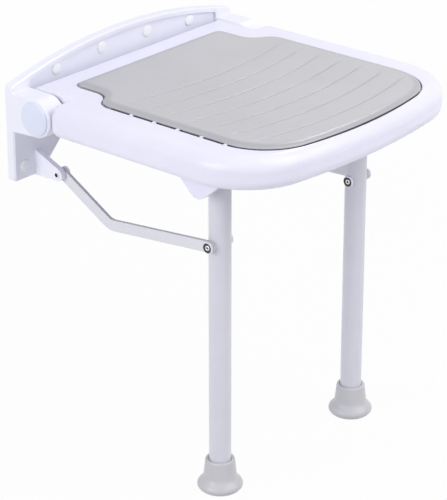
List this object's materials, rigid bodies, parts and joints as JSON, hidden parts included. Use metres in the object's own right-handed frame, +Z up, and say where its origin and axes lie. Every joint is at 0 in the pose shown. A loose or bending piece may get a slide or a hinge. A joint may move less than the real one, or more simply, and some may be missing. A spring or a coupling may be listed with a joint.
{
  "type": "folding shower seat",
  "caption": "Fold-up shower seat on a wall plate, with support legs that stay upright as it folds, cranked struts and a grooved soft pad.",
  "frame": {"origin": "on the wall face, at the middle of the width and at the height of the seat's hinge axis", "axes": "+Y into the wall, +Z up, +X along the wall"},
  "size_m": [0.377, 0.372, 0.465],
  "materials": {
    "plate_plastic": "satin",
    "shell_plastic": "satin",
    "pad_foam": "soft matt",
    "white_tube": "white coat",
    "grey_plug": "matt",
    "foot_rubber": "matt",
    "bright_steel": "bright"
  },
  "bodies": {
    "wall_bracket": {"wall_plate": "plate_plastic", "screw_cap_arch_inner_left": "plate_plastic", "screw_cap_arch_inner_right": "plate_plastic", "screw_cap_arch_outer_left": "plate_plastic", "screw_cap_arch_outer_right": "plate_plastic", "screw_cap_tab_left": "plate_plastic", "screw_cap_tab_right": "plate_plastic", "hinge_pin_left": "bright_steel", "hinge_pin_right": "bright_steel", "hinge_cap_left": "plate_plastic", "hinge_cap_right": "plate_plastic", "strut_wall_pin_left": "bright_steel", "strut_wall_pin_right": "bright_steel", "strut_wall_nut_left": "bright_steel", "strut_wall_nut_right": "bright_steel"},
    "seat": {"seat_shell": "shell_plastic", "seat_pad": "pad_foam", "leg_pivot_pin_left": "bright_steel", "leg_pivot_pin_right": "bright_steel"},
    "leg_left": {"leg_tube_left": "white_tube", "leg_plug_left": "grey_plug", "foot_left": "foot_rubber", "strut_leg_pin_left": "bright_steel", "strut_leg_nut_left": "bright_steel"},
    "strut_left": {"strut_bar_left": "white_tube"},
    "leg_right": {"leg_tube_right": "white_tube", "leg_plug_right": "grey_plug", "foot_right": "foot_rubber", "strut_leg_pin_right": "bright_steel", "strut_leg_nut_right": "bright_steel"},
    "strut_right": {"strut_bar_right": "white_tube"}
  },
  "joints": [
    {"name": "seat_fold", "type": "hinge", "parent": "wall_bracket", "child": "seat", "pos_m": [0, -0.0445, 0], "axis": [-1, 0, 0], "range_deg": [0, 90]},
    {"name": "leg_left_fold", "type": "hinge", "parent": "seat", "child": "leg_left", "pos_m": [-0.1198, -0.2558, -0.0325], "axis": [-1, 0, 0], "range_deg": [-90, 0]},
    {"name": "strut_left_fold", "type": "hinge", "parent": "wall_bracket", "child": "strut_left", "pos_m": [-0.14415, -0.0445, -0.076], "axis": [-1, 0, 0], "range_deg": [0, 90]},
    {"name": "leg_right_fold", "type": "hinge", "parent": "seat", "child": "leg_right", "pos_m": [0.1198, -0.2558, -0.0325], "axis": [-1, 0, 0], "range_deg": [-90, 0]},
    {"name": "strut_right_fold", "type": "hinge", "parent": "wall_bracket", "child": "strut_right", "pos_m": [0.14415, -0.0445, -0.076], "axis": [-1, 0, 0], "range_deg": [0, 90]}
  ],
  "couplings": [
    {"joint": "leg_left_fold", "follows": "seat_fold", "ratio": -1},
    {"joint": "strut_left_fold", "follows": "seat_fold", "ratio": 1},
    {"joint": "leg_right_fold", "follows": "seat_fold", "ratio": -1},
    {"joint": "strut_right_fold", "follows": "seat_fold", "ratio": 1}
  ]
}
